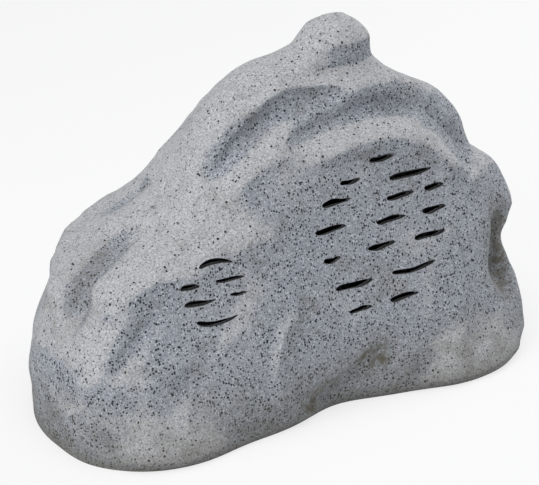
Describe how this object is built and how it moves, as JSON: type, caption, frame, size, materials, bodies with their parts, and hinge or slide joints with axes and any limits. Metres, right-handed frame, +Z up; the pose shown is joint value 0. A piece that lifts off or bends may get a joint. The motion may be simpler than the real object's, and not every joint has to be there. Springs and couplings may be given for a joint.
{
  "type": "rock shaped garden speaker",
  "caption": "Garden loudspeaker in a moulded granite-effect rock shell, with a woofer and a tweeter behind slots in its leaning front and a cable gland at the back.",
  "frame": {"origin": "middle of the base plate's underside, on the ground", "axes": "+Z up, +X along the rock's width to the right seen from the front, -Y out of the front with the slots"},
  "size_m": [0.4778, 0.3144, 0.318],
  "materials": {
    "polyresin": "granite effect, sprayed chips",
    "pvc_board": "black, fine grain",
    "foam_rubber": "closed cell, matt",
    "stainless_steel": "satin",
    "black_steel": "black powder coat",
    "butyl_rubber": "smooth, satin",
    "polypropylene": "mica filled, satin",
    "resin_cloth": "resin dipped weave",
    "aluminium_foil": "bright",
    "enamelled_copper": "clear enamel",
    "zinc_steel": "zinc plated",
    "ferrite": "ground, dark grey",
    "terminal_strip": "brown laminate with tinned tabs",
    "black_abs": "satin black",
    "coated_silk": "coated, satin",
    "circuit_board": "green solder mask",
    "capacitor_sleeve": "dark blue sleeve",
    "resistor_ceramic": "white cement",
    "green_nylon": "satin green",
    "lead_sheath": "red PVC",
    "black_nylon": "satin black"
  },
  "bodies": {
    "enclosure": {"rock_shell": "polyresin", "base_plate": "pvc_board", "base_gasket": "foam_rubber", "base_screws": "stainless_steel", "woofer_gasket": "foam_rubber", "woofer_basket": "black_steel", "woofer_surround": "butyl_rubber", "woofer_spider": "resin_cloth", "woofer_top_plate": "zinc_steel", "woofer_magnet": "ferrite", "woofer_yoke": "zinc_steel", "woofer_terminals": "terminal_strip", "woofer_screws": "stainless_steel", "tweeter_gasket": "foam_rubber", "tweeter_faceplate": "black_abs", "tweeter_diaphragm": "coated_silk", "tweeter_coil": "enamelled_copper", "tweeter_top_plate": "zinc_steel", "tweeter_magnet": "ferrite", "tweeter_yoke": "zinc_steel", "tweeter_terminals": "terminal_strip", "tweeter_screws": "stainless_steel", "crossover_board": "circuit_board", "crossover_screws": "stainless_steel", "inductor_bobbin": "black_abs", "inductor_winding": "enamelled_copper", "capacitor_large": "capacitor_sleeve", "capacitor_small": "capacitor_sleeve", "power_resistor": "resistor_ceramic", "terminal_block": "green_nylon", "woofer_leads": "lead_sheath", "tweeter_leads": "lead_sheath", "gland_body": "black_nylon", "gland_washer": "butyl_rubber", "gland_locknut": "black_nylon", "gland_seal": "butyl_rubber", "gland_cap_nut": "black_nylon"},
    "cone_assembly": {"woofer_cone": "polypropylene", "woofer_dust_cap": "polypropylene", "woofer_former": "aluminium_foil", "woofer_coil": "enamelled_copper"}
  },
  "joints": [
    {"name": "cone_travel", "type": "slide", "parent": "enclosure", "child": "cone_assembly", "axis": [0, -0.9397, 0.342], "range_m": [-0.004, 0.004], "stiffness_N_per_m": 900, "deforming": ["woofer_surround", "woofer_spider"]}
  ]
}
